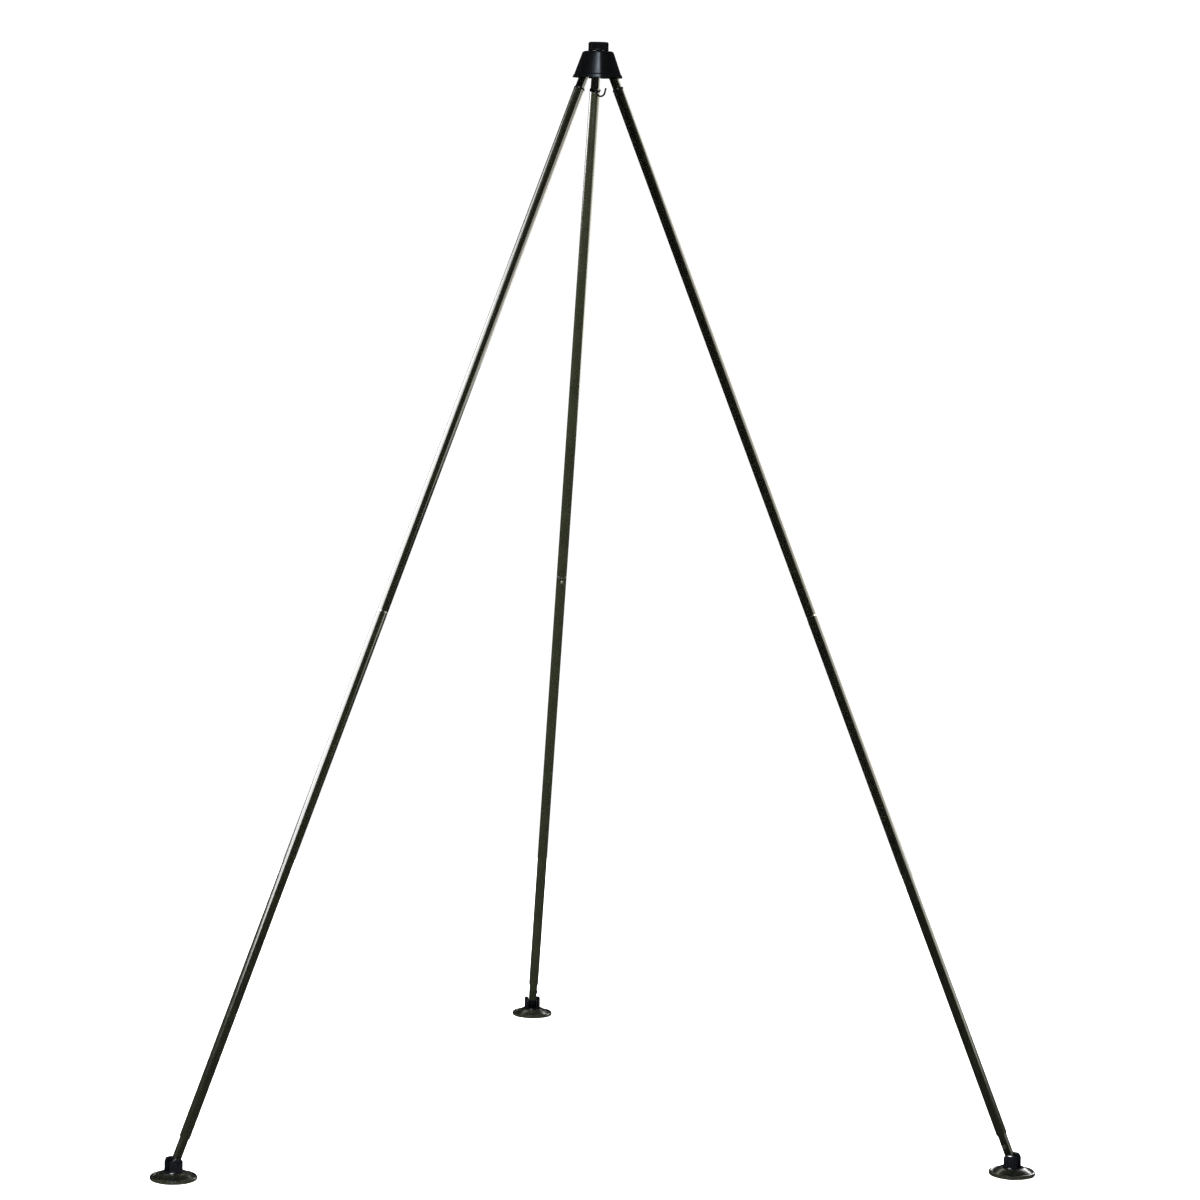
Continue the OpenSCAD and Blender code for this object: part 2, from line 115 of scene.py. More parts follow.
def skin(name, shells, axes, body, material, instead_of, crease=35):
    """shells is a list of (points in mm, round_rows, round_columns) in the piece's own axes."""
    all_points, all_faces, start = [], [], 0
    for grid, round_rows, round_columns in shells:
        rows, columns = grid.shape[:2]
        faces = grid_faces(rows, columns, round_rows, round_columns)
        points = grid.reshape(-1, 3)
        if volume_inside(points, faces) < 0:
            faces = faces[:, ::-1]
        all_points.append(points)
        all_faces.append(faces + start)
        start += len(points)
    points = np.concatenate(all_points) * MM
    points = points @ axes[:3] + axes[3]
    faces = np.concatenate(all_faces)
    mesh = bpy.data.meshes.new(name)
    mesh.from_pydata(points.tolist(), [], faces.tolist())
    work = bmesh.new()
    work.from_mesh(mesh)
    bmesh.ops.remove_doubles(work, verts=work.verts, dist=1e-6)
    work.to_mesh(mesh)
    work.free()
    mesh.polygons.foreach_set("use_smooth", np.ones(len(mesh.polygons), dtype=bool))
    mesh.set_sharp_from_angle(angle=np.radians(crease))
    piece = bpy.data.objects.new(name, mesh)
    bpy.context.scene.collection.objects.link(piece)
    mesh.materials.append(material)
    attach(piece, body)
    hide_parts(instead_of)
    return piece


print("a grid of 3 rows and 4 columns has", len(grid_faces(3, 4, False, False)), "faces")

# %% [markdown]
# ## Outlines and turning
# Moulded and turned parts have no razor edges. An outline is given by its corners, and each corner
# is cut back and bridged by a short curve. Turned parts are then spun about their axis.

# %% Softened outlines
def soften(corners, cuts, steps=5):
    """Each corner becomes a parabola from a point a little before it to a point a little after it.

    With s from 0 to 1: (1-s)^2 before + 2s(1-s) corner + s^2 after."""
    p = np.array(corners, dtype=float)
    cut = np.broadcast_to(np.array(cuts, dtype=float), len(p))[:, None]
    to_last, to_next = np.roll(p, 1, axis=0) - p, np.roll(p, -1, axis=0) - p
    length = lambda v: np.maximum(np.linalg.norm(v, axis=1, keepdims=True), 1e-9)
    before = p + to_last / length(to_last) * np.minimum(cut, 0.49 * length(to_last))
    after = p + to_next / length(to_next) * np.minimum(cut, 0.49 * length(to_next))
    s = np.linspace(0, 1, steps)[None, :, None]
    curve = (1 - s) ** 2 * before[:, None] + 2 * s * (1 - s) * p[:, None] + s ** 2 * after[:, None]
    return curve.reshape(-1, 2)


def spin(outline, around=72):
    """A point (r, z) of the outline goes to (r cos a, r sin a, z) for each angle a."""
    a = np.linspace(0, 2 * np.pi, around, endpoint=False)[:, None]
    r, z = outline[:, 0][None, :], outline[:, 1][None, :]
    return np.stack([r * np.cos(a), r * np.sin(a), z + 0 * a], axis=-1)


def turned(corners, cuts, around=72, steps=5):
    """A closed ring-shaped outline, softened and spun."""
    return spin(soften(corners, cuts, steps), around), True, True


print("a softened square has", len(soften([(0, 0), (1, 0), (1, 1), (0, 1)], 0.1)), "points")

# %% [markdown]
# ## Building finishes
# A finish is a small network of nodes. One helper adds a node, sets its values and makes its links.
# Colours are picked as sRGB hex values, the way a paint chart gives them, and turned to linear
# light.

# %% Colour and node helpers
def colour(hex_value):
    """sRGB to linear: below 0.04045 divide by 12.92, above it ((c + 0.055) / 1.055) ^ 2.4."""
    c = np.array([int(hex_value[i:i + 2], 16) for i in (1, 3, 5)]) / 255
    linear = np.where(c <= 0.04045, c / 12.92, ((c + 0.055) / 1.055) ** 2.4)
    return (*linear.tolist(), 1.0)


def add(material, kind, links=None, **settings):
    """Adds a node. A setting names an input socket or a property, a link feeds an input."""
    tree = material.node_tree
    node = tree.nodes.new(kind)
    for key, value in settings.items():
        socket = node.inputs.get(key.replace("_", " "))
        if socket is not None and not hasattr(node, key):
            socket.default_value = value
        else:
            setattr(node, key, value)
    for key, source in (links or {}).items():
        target = node.inputs[key] if isinstance(key, int) else node.inputs[key.replace("_", " ")]
        tree.links.new(source, target)
    return node


def ramp(material, source, stops):
    """Two stops, each a place from 0 to 1 and a colour or a plain number."""
    node = add(material, "ShaderNodeValToRGB", {"Fac": source})
    for element, (position, value) in zip(node.color_ramp.elements, stops):
        element.position = position
        element.color = value if isinstance(value, tuple) else (value, value, value, 1)
    return node.outputs["Color"]


def new_finish(name, **surface):
    """A material with a Principled shader whose plain numbers are set on its own sockets."""
    material = bpy.data.materials.new(name)
    material.use_nodes = True
    material.node_tree.nodes.clear()
    output = add(material, "ShaderNodeOutputMaterial")
    shader = add(material, "ShaderNodeBsdfPrincipled")
    for socket, value in surface.items():
        shader.inputs[socket.replace("_", " ")].default_value = value
    material.node_tree.links.new(shader.outputs[0], output.inputs["Surface"])
    return material, shader


def noise(material, where, size_mm, detail=2.0, rough=0.5):
    """Cloudy noise whose blobs are about size_mm across. The scale counts blobs per metre."""
    return add(material, "ShaderNodeTexNoise", {"Vector": where}, Scale=1000 / size_mm,
               Detail=detail, Roughness=rough).outputs["Fac"]


def bumped(material, shader, height, depth_mm, strength=1.0):
    bump = add(material, "ShaderNodeBump", {"Height": height}, Strength=strength,
               Distance=depth_mm * MM)
    material.node_tree.links.new(bump.outputs["Normal"], shader.inputs["Normal"])


def feed(material, shader, **sources):
    for socket, source in sources.items():
        material.node_tree.links.new(source, shader.inputs[socket.replace("_", " ")])


print("middle grey in linear light:", colour("#808080"))

# %% [markdown]
# ## Finishes of the stand
# The tubes are steel with a dark olive enamel, sprayed and baked. The spray leaves a faint orange
# peel about 1 mm across, and handling leaves slightly duller patches. Real orange peel is too fine
# to see at this distance, so it is drawn 3 mm wide. The hub, knob and knuckles are black nylon from
# a polished mould that has gone a little dull. The feet are olive-grey rubbery plastic. The hook,
# the ferrules and the fasteners are bare or zinc-plated steel, with fine marks from drawing the
# wire.

# %% Olive enamel, black nylon, olive rubber
def olive_enamel(name, low, high, roughness):
    material, shader = new_finish(name, IOR=1.5, Metallic=0.0)
    where = add(material, "ShaderNodeTexCoord").outputs["Object"]
    patches = noise(material, where, 60, 3.0, 0.6)
    feed(material, shader,
         Base_Color=ramp(material, patches, [(0.35, colour(low)), (0.65, colour(high))]),
         Roughness=ramp(material, noise(material, where, 25, 3.0, 0.6),
                        [(0.3, roughness[0]), (0.7, roughness[1])]))
    bumped(material, shader, noise(material, where, 3, 1.0), 0.02, 0.35)
    return material


def moulded(name, low, high, ior, roughness, grain_mm, depth_mm):
    material, shader = new_finish(name, IOR=ior, Metallic=0.0)
    where = add(material, "ShaderNodeTexCoord").outputs["Object"]
    feed(material, shader,
         Base_Color=ramp(material, noise(material, where, 20, 3.0, 0.6),
                         [(0.35, colour(low)), (0.65, colour(high))]),
         Roughness=ramp(material, noise(material, where, 8, 3.0, 0.65),
                        [(0.3, roughness[0]), (0.7, roughness[1])]))
    bumped(material, shader, noise(material, where, grain_mm, 2.0), depth_mm, 0.5)
    return material


def bright_metal(name, low, high, roughness, mark_mm):
    material, shader = new_finish(name, Metallic=1.0)
    where = add(material, "ShaderNodeTexCoord").outputs["Object"]
    feed(material, shader,
         Base_Color=ramp(material, noise(material, where, 6, 3.0, 0.6),
                         [(0.35, colour(low)), (0.65, colour(high))]),
         Roughness=ramp(material, noise(material, where, mark_mm, 3.0, 0.7),
                        [(0.3, roughness[0]), (0.7, roughness[1])]))
    bumped(material, shader, noise(material, where, mark_mm, 3.0), 0.01, 0.4)
    return material


# Glossy and almost black: the olive only shows where light reaches it.
ENAMEL = olive_enamel("olive enamel on steel tube", "#0F1109", "#13150C", (0.15, 0.21))
# The polish has dulled, so highlights are broad and soft.
NYLON = moulded("black nylon", "#090B0C", "#0E1011", 1.5, (0.3, 0.4), 1.2, 0.02)
# Fresh from a polished mould: small sharp highlights on a cold black.
KNUCKLE = moulded("blue-black nylon", "#07080B", "#0C0E12", 1.5, (0.12, 0.2), 1.2, 0.01)
# Dark olive-grey with a wet-looking sheen, as soft plastic has.
RUBBER = moulded("olive-grey foot plastic", "#25261A", "#2F3022", 1.5, (0.2, 0.3), 1.5, 0.03)
# Sprayed on a rough casting: nearly matt, with a slight pebble.
CASTING = moulded("black casting enamel", "#0A0B0D", "#111215", 1.5, (0.4, 0.55), 2.0, 0.05)
# A dull grey shine.
ZINC = bright_metal("zinc-plated steel", "#6F7274", "#85888A", (0.24, 0.36), 0.8)
# A little whiter and sharper, as a turning tool leaves it.
BARE = bright_metal("bare turned steel", "#8C8C88", "#A09F9A", (0.22, 0.34), 0.6)
# Paint worn thin on the rivet heads makes them lighter and duller than the tube.
RIVET = olive_enamel("worn olive rivet", "#1E2015", "#2E3024", (0.3, 0.45))
print("finishes:", len(bpy.data.materials))

# %% [markdown]
# ## The hub cover
# Seen from above, the cover is a triangle with bulging sides: each side is part of a wide circle
# whose centre lies behind the hub's axis, one side for each leg. Where two sides meet there is a
# ridge. Taking the nearest of the three circles gives a knife-sharp ridge, so a smooth minimum is
# used, which rounds it to a couple of millimetres as the mould does. The outline runs up the
# outside with its rim band, over the top, and down the round hollow inside.

# %% The cover
def three_sided(radius, behind, height, around=360):
    """Distance to circle k along angle t: -b cos(t-k) + sqrt(R^2 - b^2 sin^2(t-k)).

    The cover's radius is the smooth minimum of the three, m - s log(sum of exp(-(d - m) / s))."""
    t = np.linspace(0, 2 * np.pi, around, endpoint=False)[:, None, None]
    k = np.radians([90, 210, 330])[None, None, :]
    R, b = radius[None, :, None], behind[None, :, None]
    d = -b * np.cos(t - k) + np.sqrt(np.maximum(R ** 2 - (b * np.sin(t - k)) ** 2, 0))
    nearest = d.min(axis=2, keepdims=True)
    s = 0.02 + 0.5 * b[..., 0] / 8
    r = nearest[..., 0] - s * np.log(np.exp(-(d - nearest) / s[..., None]).sum(axis=2))
    t = t[..., 0]
    return np.stack([r * np.cos(t), r * np.sin(t), np.broadcast_to(height[None, :], r.shape)],
                    axis=-1)


SLOPE = np.tan(np.radians(19.7))
SIDE_R, BULGE_CENTRE = 50.28, 8.0                  # the wide circles and how far back they centre
TOP_Z, ROOF_Z, HOLLOW_R = 46.5, 43.0, 39.9


def side(z, out=0.0):
    return SIDE_R + out - SLOPE * z, z


outer = soften([side(0, 0.9), side(5.6, 0.9), side(6.6, -0.35), side(7.6, 0), side(TOP_Z),
                (19.5, TOP_Z)], [0.9, 0.8, 0.4, 0.5, 4.2, 0.2], 7)[:-7]
inner = soften([(4.4, TOP_Z), (4.4, ROOF_Z), (HOLLOW_R - SLOPE * ROOF_Z, ROOF_Z), (HOLLOW_R, 0),
                (45, 0)], [0.4, 0.3, 1.5, 0.7, 0.1], 5)[:-5]
outline = np.concatenate([outer, [(19.5, TOP_Z)], inner])
behind = np.concatenate([np.full(len(outer), BULGE_CENTRE), [BULGE_CENTRE / 2],
                         np.zeros(len(inner))])
cover = skin("cover", [(three_sided(outline[:, 0], behind, outline[:, 1]), True, True)],
             HUB, "hub", NYLON, "hub_cover")
print("cover faces:", len(cover.data.polygons))

# %% [markdown]
# ## The knob
# The knob is turned by hand, so its side is fluted: forty shallow grooves. The radius drops by a
# raised cosine of forty times the angle, cubed so that the grooves are narrow and the ribs wide.
# The grooves fade out at the foot and at the top, where the outline carries weight nought.

# %% The knob
KNOB_Z = 47.3


def fluted(corners, cuts, depth, count=40, around=480, steps=5):
    """corners are (r, z, weight); r shrinks by depth * weight * (0.5 + 0.5 cos(count * a))^3."""
    c = np.array(corners, dtype=float)
    outline = soften(c[:, :2], cuts, steps)
    weight = np.repeat(c[:, 2], steps)
    a = np.linspace(0, 2 * np.pi, around, endpoint=False)[:, None]
    r = outline[:, 0] - depth * weight * (0.5 + 0.5 * np.cos(count * a)) ** 3
    return np.stack([r * np.cos(a), r * np.sin(a), outline[:, 1] + 0 * a], axis=-1), True, True


knob = skin("knob", [fluted(
    [(4.03, 0, 0), (17.9, 0, 0), (18.1, 1.9, 0), (17.75, 2.5, 1), (17.75, 12.9, 1), (17.1, 13.9, 0),
     (16.2, 15, 0), (13.6, 15, 0), (12.8, 14.4, 0), (0.02, 14.4, 0), (0.02, 11, 0), (4.03, 11, 0)],
    [0.3, 0.5, 0.35, 0.25, 0.3, 0.5, 0.7, 0.5, 0.6, 0, 0, 0.3], 0.75)],
    place((0, 0, RIM_Z + KNOB_Z * MM), *HUB[:3]), "swivel", NYLON, "top_knob")
print("knob faces:", len(knob.data.polygons))

# %% [markdown]
# ## Tubes, collars and stems
# The leg tubes are plain round tube, but their cut ends are rounded over by deburring, and that
# bright little edge is what shows at each joint. All of them are rings: an outline with an outside
# and an inside, spun round the leg's own axis. The collar on top is a moulded sleeve end with a
# small bead.

# %% Tubes and what plugs into them
UPPER_TOP, JOINT_MM, LENGTH = -45.0, -1026.0, -LEG_LENGTH / MM
STEM_TOP = LENGTH + 51                             # where the stem comes out of the lower tube
TUBE_R, BORE_R = 9.5, 8.3


def tube(outer_r, inner_r, low, high, edge=0.45):
    return turned([(inner_r, low), (outer_r, low), (outer_r, high), (inner_r, high)], edge)


for leg in LEGS:
    axes = leg_axes(leg)
    skin(f"{leg}_tube_upper", [tube(TUBE_R, BORE_R, JOINT_MM + 1.05, UPPER_TOP)], axes,
         f"{leg}_leg", ENAMEL, f"{leg}_upper_tube")
    skin(f"{leg}_tube_lower", [tube(TUBE_R, BORE_R, STEM_TOP, JOINT_MM - 1)], axes, f"{leg}_lower",
         ENAMEL, f"{leg}_lower_tube")
    skin(f"{leg}_collar", [turned([(8.24, -45), (9.85, -45), (9.9, -43.4), (9.5, -42.1),
                                   (8.24, -42)], [0.1, 0.4, 0.6, 0.5, 0.1])],
         axes, f"{leg}_leg", NYLON, f"{leg}_top_collar")
print(f"upper tube {UPPER_TOP - JOINT_MM:.0f} mm long, lower tube {JOINT_MM - STEM_TOP:.0f} mm")

# %% [markdown]
# ## The hook and its eye
# The hook is one piece of wire. Its middle line lies in a flat plane, so it is enough to know the
# line and to carry a small circle along it: one side of the circle points along the line's normal
# in the plane, the other straight out of the plane. The wire is cut at both ends, and the circle
# shrinks to nothing there as a quarter of an ellipse, so the ends are rounded. The line is made of
# arcs and straights, then averaged over a few millimetres, as real wire never bends sharply.

# %% Wire along a line
def arc(centre, radius, start, end, step=0.4):
    """Points centre + radius (cos a, sin a) for a from start to end in degrees."""
    count = max(3, int(abs(np.radians(end - start)) * radius / step))
    a = np.radians(np.linspace(start, end, count))
    return np.array(centre) + radius * np.stack([np.cos(a), np.sin(a)], axis=1)


def evenly(line, step=0.4, soft=5):
    """Resampled at even lengths, then each point is the mean of its neighbours."""
    run = np.concatenate([[0], np.cumsum(np.linalg.norm(np.diff(line, axis=0), axis=1))])
    s = np.linspace(0, run[-1], int(run[-1] / step) + 1)
    points = np.stack([np.interp(s, run, line[:, k]) for k in (0, 1)], axis=1)
    padded = np.pad(points, ((soft, soft), (0, 0)), mode="reflect", reflect_type="odd")
    window = np.ones(2 * soft + 1) / (2 * soft + 1)
    return np.stack([np.convolve(padded[:, k], window, mode="valid") for k in (0, 1)], axis=1)


def wire(line, radius, around=20):
    """centre + rho (cos a n + sin a b), with rho = radius sqrt(1 - (1 - s / cap)^2) near an end."""
    tangent = np.gradient(line, axis=0)
    tangent /= np.linalg.norm(tangent, axis=1, keepdims=True)
    run = np.concatenate([[0], np.cumsum(np.linalg.norm(np.diff(line, axis=0), axis=1))])
    cap = 0.8 * radius
    near = np.clip(np.minimum(run, run[-1] - run) / cap, 0, 1)
    rho = radius * np.sqrt(1 - (1 - near) ** 2)
    a = np.linspace(0, 2 * np.pi, around, endpoint=False)[None, :]
    x = line[:, :1] - rho[:, None] * np.cos(a) * tangent[:, 1:]
    z = line[:, 1:] + rho[:, None] * np.cos(a) * tangent[:, :1]
    return np.stack([x, rho[:, None] * np.sin(a), z], axis=-1), False, True


HOOK_AT = np.radians(30)
out, across = (np.cos(HOOK_AT), np.sin(HOOK_AT), 0), (-np.sin(HOOK_AT), np.cos(HOOK_AT), 0)
HOOK = place((0, 0, RIM_Z), out, across, (0, 0, 1))
WIRE_R, LOOP_R, LOOP_H = 1.6, 4.4, 4.0
BOWL, BOWL_R, BEND_R, TIP_AT, TIP_LENGTH = (6.9, -22.3), 9.5, 5, 345, 8.4
# The shank's bend and the bowl are circles that touch, so the angle between them follows.
bend = np.degrees(np.arccos((BOWL[0] + BEND_R) / (BOWL_R + BEND_R)))
bend_z = BOWL[1] + (BOWL_R + BEND_R) * np.sin(np.radians(bend))
tip_turn = np.radians(TIP_AT)
tip_foot = np.array(BOWL) + BOWL_R * np.array([np.cos(tip_turn), np.sin(tip_turn)])
tip_way = np.array([-np.sin(tip_turn), np.cos(tip_turn)])
hook_line = np.concatenate([
    arc((0, LOOP_H), LOOP_R, -52, 262), [[0, -2.6]], [[0, bend_z]],
    arc((-BEND_R, bend_z), BEND_R, 0, -bend)[1:], arc(BOWL, BOWL_R, 180 - bend, TIP_AT)[1:],
    (tip_foot + tip_way * TIP_LENGTH)[None]])
hook = skin("wire_hook", [wire(evenly(hook_line, 0.3, 4), WIRE_R, 24)], HOOK, "hook", ZINC, "hook")
print("hook faces:", len(hook.data.polygons))

# %% [markdown]
# ## The feet
# Each foot is a moulded plate. From the knuckle's seat its top slopes down in a gentle arch to a
# shallow groove, and a rounded lip runs round the outside. Underneath it is hollow, with two rings
# that bear on the ground. It is one outline, spun.
# The knuckle above it is a short round post, split by a slot for the stem. Its two ears are built
# slice by slice across the pin. Four limits bound each slice, and a smooth minimum of the distances
# to them rounds the corners between them.

# %% Plates and knuckles
PLATE = soften(
    [(13.02, 4), (16, 4), (16, 0), (18, 0), (18, 7), (22, 7.4), (35, 1), (35, 0), (39.1, 0),
     (40, 1.6), (40, 5.4), (37.2, 6.9), (34.3, 5.6), (33.9, 4.5), (31.8, 6.1), (27.5, 9.2),
     (23.6, 11.6), (22.2, 12.1), (21, 13), (13.02, 13)],
    [0.2, 0.2, 0.2, 0.4, 1, 1.5, 0.3, 0.3, 0.6, 0.9, 1.6, 1.4, 0.5, 0.5, 1.2, 2, 0.9, 0.4, 0.5,
     0.1], 6)
SEAT = [(0.02, 12), (2.53, 12), (2.53, 4), (13, 4), (13, 13), (17.4, 13), (17.1, 13.7),
        (16.1, 14.8), (14.6, 14.4), (12, 13.4), (9, 13.1), (5, 12.6), (0.02, 12.55)]
EAR_IN, EAR_OUT, EAR_TURN, EAR_EDGE = 8.42, 15.8, 16.0, 0.8


def least(*limits):
    """Smooth minimum, m - s log(sum of exp(-(d - m) / s)), which rounds the corners."""
    d = np.stack(np.broadcast_arrays(*limits))
    m, s = d.min(axis=0), 0.35
    return m - s * np.log(np.exp(-(d - m) / s).sum(axis=0))


def ear(way, around=96):
    """Slices across the pin. In each, the distance from the pin at angle a is the least of four:
    the ear's turning circle, the plan's round side, the rounded shoulder and the seat.

    Plan: sqrt(out^2 - y^2) / |cos a|. Shoulder: height / sin a. Seat: 7.6 mm / -sin a."""
    edge = np.linspace(0, np.pi / 2, 5)
    y = np.concatenate([EAR_IN + EAR_EDGE - EAR_EDGE * np.cos(edge),
                        EAR_OUT * np.sin(np.linspace(0.64, 1.57, 26))])
    inset = np.concatenate([EAR_EDGE - EAR_EDGE * np.sin(edge), np.zeros(26)])
    half = np.sqrt(np.maximum(EAR_OUT ** 2 - y ** 2, 0)) + 0.02
    shoulder = 12 + np.sqrt(np.maximum(16 - np.clip(y - 11.8, 0, 4) ** 2, 0))
    a = np.linspace(0, 2 * np.pi, around, endpoint=False)[None, :] + np.pi / around
    c, s = np.maximum(np.abs(np.cos(a)), 1e-3), np.sin(a)
    r = least(EAR_TURN + 0 * y[:, None], half[:, None] / c,
              np.where(s > 0.01, shoulder[:, None] / np.maximum(s, 0.01), 99),
              np.where(s < -0.01, 7.6 / np.maximum(-s, 0.01), 99)) - inset[:, None]
    r = np.maximum(r, 0.01)
    slices = np.stack([r * np.cos(a), way * y[:, None] + 0 * a, 21 + r * s], axis=-1)
    first, last = slices[:1].copy(), slices[-1:].copy()
    first[..., 0], first[..., 2], last[..., 0] = 0, 21, 0
    return np.concatenate([first, slices, last]), False, True


PIN = [(0.02, -16.05), (2.3, -15.95), (3, -15.2), (3, 15.2), (2.3, 15.95), (0.02, 16.05)]
for leg in LEGS:
    axes = foot_axes(leg)
    skin(f"{leg}_plate", [(spin(PLATE, 120), True, True)], axes, f"{leg}_foot", RUBBER,
         f"{leg}_foot_disc")
    skin(f"{leg}_knuckle", [turned(SEAT, 0.3, 96), ear(1), ear(-1)], axes, f"{leg}_foot", KNUCKLE,
         f"{leg}_foot_clevis", crease=50)
    along = place(axes[3] + PIN_Z * axes[2], axes[2], axes[0], axes[1])
    skin(f"{leg}_pin", [turned(PIN, [0, 0.4, 0.4, 0.4, 0.4, 0], 48)], along, f"{leg}_foot", CASTING,
         f"{leg}_clevis_pin")
print("plate outline points:", len(PLATE), "slices in an ear:", ear(1)[0].shape[0])

# %% [markdown]
# ## Pieces that keep their shape
# The remaining pieces have the right shape already, so they only get a finish.

# %% Finishes for the frame's own pieces
KEPT = {"hub_core": CASTING, "hinge_bolts": ZINC, "hinge_nuts": ZINC, "eye_bolt": ZINC,
        "knob_washer": ZINC}
for leg in LEGS:
    KEPT.update({f"{leg}_hinge_tongue": ENAMEL, f"{leg}_ferrule": BARE,
                 f"{leg}_ferrule_rivet": RIVET, f"{leg}_foot_stem": ENAMEL,
                 f"{leg}_stem_rivet": RIVET, f"{leg}_swivel_eye": KNUCKLE,
                 f"{leg}_foot_washer": ZINC, f"{leg}_foot_screw": ZINC})
for name, finish in KEPT.items():
    mesh = frame["nodes"][name].data
    mesh.materials.clear()
    mesh.materials.append(finish)
print("kept pieces:", len(KEPT))

# %% [markdown]
# ## The floor and the room
# The stand is shown on a white floor in front of a white wall. The floor is a round sheet, lit
# until it is as white as the wall behind it, and the glossy pieces do not mirror it. The eye sees
# white all round, but the air that lights the stand is that of a dark room, and this keeps the
# middle of the tubes dark.

# %% The floor and the room
def floor(radius, around=96):
    """One flat round face at the ground's height."""
    mesh = bpy.data.meshes.new("floor")
    a = np.linspace(0, 2 * np.pi, around, endpoint=False)
    points = np.stack([radius * np.cos(a), radius * np.sin(a), 0 * a], axis=1)
    mesh.from_pydata(points.tolist(), [], [list(range(around))])
    piece = bpy.data.objects.new("floor", mesh)
    bpy.context.scene.collection.objects.link(piece)
    material, shader = new_finish("white studio floor", Roughness=0.9, IOR=1.3)
    shader.inputs["Base Color"].default_value = (0.5, 0.5, 0.5, 1)
    mesh.materials.append(material)
    piece.visible_glossy = False


def studio_air():
    """The eye sees white all round; the stand is lit only by a dark room."""
    world = bpy.data.worlds.new("studio")
    bpy.context.scene.world = world
    world.use_nodes = True
    world.node_tree.nodes.clear()
    seen = add(world, "ShaderNodeLightPath").outputs["Is Camera Ray"]
    room = add(world, "ShaderNodeBackground", Color=(0.045, 0.045, 0.05, 1))
    white = add(world, "ShaderNodeBackground", Color=(1, 1, 1, 1), Strength=1.05)
    mix = add(world, "ShaderNodeMixShader", {0: seen, 1: room.outputs[0], 2: white.outputs[0]})
    add(world, "ShaderNodeOutputWorld", {"Surface": mix.outputs[0]})


FLOOR_RADIUS = 2.6
floor(FLOOR_RADIUS)
studio_air()
print("floor radius:", FLOOR_RADIUS, "m")

# %% [markdown]
# ## Lamps and flags
# A tall wall of light stands at each side and reaches far back, and draws a bright stripe down each
# tube. Flags keep the walls' light off the small black pieces and the feet, as a photographer
# shades with black card what should stay dark. A lamp here takes a list of the pieces that its
# flag shades. Smaller lamps then light the cover, the back leg, the plates and the knuckles.

# %% Lamps and flags
def soft_light(name, where, towards, width, height, radiance, shaded=(), tint=(1, 1, 1)):
    """A rectangle of light. Its power is its radiance times pi times its area."""
    light = bpy.data.lights.new(name, "AREA")
    light.color = tint
    light.shape, light.size, light.size_y = "RECTANGLE", width, height
    light.energy = radiance * np.pi * width * height
    lamp = bpy.data.objects.new(name, light)
    bpy.context.scene.collection.objects.link(lamp)
    lamp.location = where
    lamp.rotation_euler = (Vector(towards) - Vector(where)).to_track_quat("-Z", "Y").to_euler()
    lamp.visible_camera = False
    if shaded:
        flag = bpy.data.collections.new(name + "_flag")
        for piece in shaded:
            flag.objects.link(piece)
        lamp.light_linking.receiver_collection = flag
        for entry in flag.collection_objects:
            entry.light_linking.link_state = "EXCLUDE"
    return lamp


def made(*endings):
    return [bpy.data.objects[f"{leg}_{ending}"] for leg in LEGS for ending in endings]


def kept(*endings, legs=LEGS):
    return [frame["nodes"][f"{leg}_{ending}"] for leg in legs for ending in endings]


def steel(*legs):
    return [bpy.data.objects[f"{leg}_tube_{half}"] for leg in legs for half in ("upper", "lower")
            ] + kept("foot_stem", "ferrule", legs=legs)


# What the big walls of light leave in the shade.
DARK = [bpy.data.objects[name] for name in ("cover", "knob", "wire_hook")]
DARK += [frame["nodes"][name] for name in ("hub_core", "hinge_bolts", "hinge_nuts", "eye_bolt")]
DARK += made("collar", "knuckle", "pin") + kept("swivel_eye", "stem_rivet")
PLATES, TONGUES, ALL_STEEL = made("plate"), kept("hinge_tongue"), steel(*LEGS)
# One wall at each side draws the bright stripes on the tubes.
soft_light("left_wall", (-2.4, -0.2, 2.0), (0, -0.2, 2.0), 4.8, 1.5, 19,
           DARK + PLATES + TONGUES + steel("right"))
soft_light("left_wall_top", (-2.4, -0.65, 3.15), (0, -0.65, 3.15), 3.9, 0.8, 13,
           DARK + PLATES + TONGUES + steel("right"))
CREAM = (1.0, 0.97, 0.86)
LEFT_TOP = [bpy.data.objects["left_tube_upper"]]
soft_light("right_wall", (2.4, 1.1, 2.0), (0, 1.1, 2.0), 5.8, 2.8, 6,
           DARK + PLATES, CREAM)
soft_light("right_wall_more", (2.4, 1.1, 2.0), (0, 1.1, 2.0), 5.8, 2.8, 5,
           DARK + PLATES + LEFT_TOP, CREAM)
# A high lamp for the cover, a low one for the back leg, one behind for the plates.
soft_light("high_left", (-0.85, -2.5, 4.1), (0, 0, 1.9), 1.2, 1.4, 13,
           ALL_STEEL + TONGUES, (0.75, 0.87, 1))
soft_light("low_front", (-0.4, -3.2, 0.9), (0, 0.5, 0.9), 1.6, 1.2, 56,
           DARK + PLATES + TONGUES + steel("left", "right"))
soft_light("far_right", (2.4, 2.4, 1.6), (0, 0, 0), 1.4, 1.6, 9,
           DARK + ALL_STEEL + TONGUES)
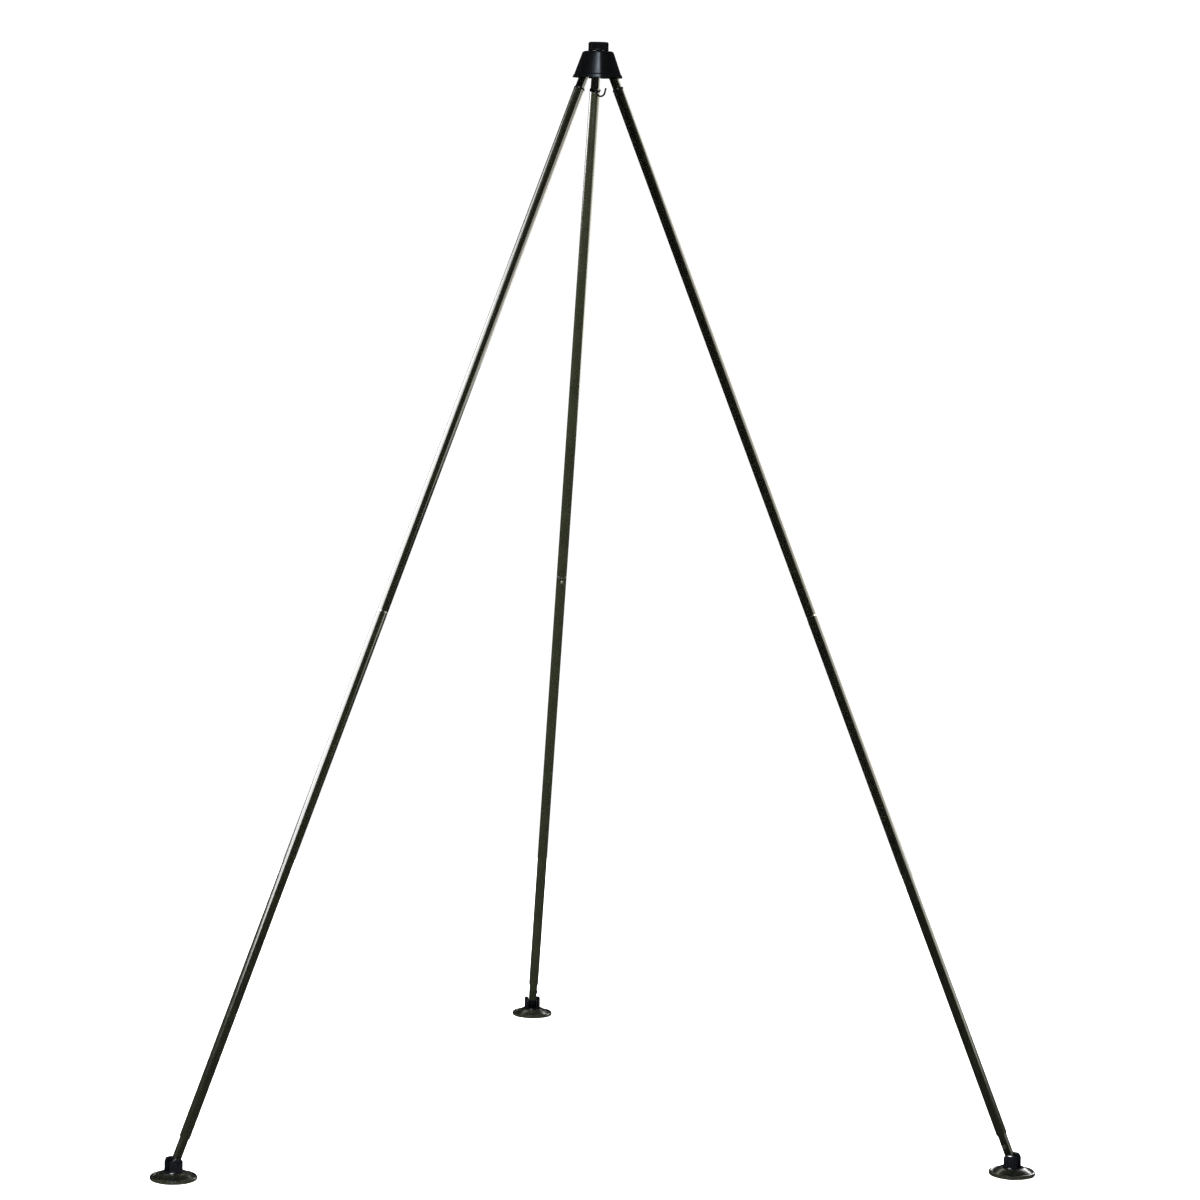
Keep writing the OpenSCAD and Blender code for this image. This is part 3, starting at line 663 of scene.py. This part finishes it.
# One lamp for the knuckles' highlights and one for the band of light across each plate.
NOT_FEET = [piece for piece in DARK if "knuckle" not in piece.name] + TONGUES + ALL_STEEL
soft_light("knuckle_spark", (-1.7, -2.6, 2.6), (0, 0, 0), 1.1, 1.1, 80, NOT_FEET + PLATES)
NOT_PLATES = DARK + TONGUES + ALL_STEEL
soft_light("plate_band", (-0.5, 3.0, 3.6), (-0.1, 0, 0), 3.0, 0.8, 3.5, NOT_PLATES, CREAM)
# The floor has a lamp of its own.
soft_light("over_floor", (0, 2.0, 4.5), (0, 2.0, 0), 4.0, 4.0, 12,
           DARK + PLATES + TONGUES + ALL_STEEL)
print("lamps:", len(bpy.data.lights))

# %% [markdown]
# ## The camera
# The eye stands a little to the left of the stand and well back, so the legs keep their true
# proportions. Its heading, dip and roll in degrees give the three directions that a camera needs.

# %% The camera
CAMERA_AT = np.array([-0.6946, -6.4356, 1.645])
TURN, DOWN, ROLL = 83.61, 6.22, 1.38
LENS_MM, FILM_MM, FAR = 109.65, 36.0, 200


def look(turn, down, roll):
    """Rows: the camera's right, up and backward directions for a heading, a dip and a roll."""
    t, d, r = np.radians([turn, down, roll])
    ahead = np.array([np.cos(t) * np.cos(d), np.sin(t) * np.cos(d), -np.sin(d)])
    right = np.array([np.sin(t), -np.cos(t), 0.0])
    up = np.cross(right, ahead)
    return np.array([np.cos(r) * right + np.sin(r) * up, np.cos(r) * up - np.sin(r) * right, -ahead])


camera = bpy.data.objects.new("camera", bpy.data.cameras.new("camera"))
bpy.context.scene.collection.objects.link(camera)
turned_to = np.eye(4)
turned_to[:3, :3] = look(TURN, DOWN, ROLL).T
turned_to[:3, 3] = CAMERA_AT
camera.matrix_world = Matrix(turned_to.tolist())
camera.data.lens, camera.data.sensor_width = LENS_MM, FILM_MM
camera.data.clip_end = FAR
bpy.context.scene.camera = camera
bpy.context.scene.view_settings.view_transform = "Standard"
print("camera to hub:", round(float(np.linalg.norm(CAMERA_AT - HUB[3])), 2), "m")

# %% [markdown]
# ## Finish
# The scene is brought up to date.

# %% Update, and done
bpy.context.view_layer.update()
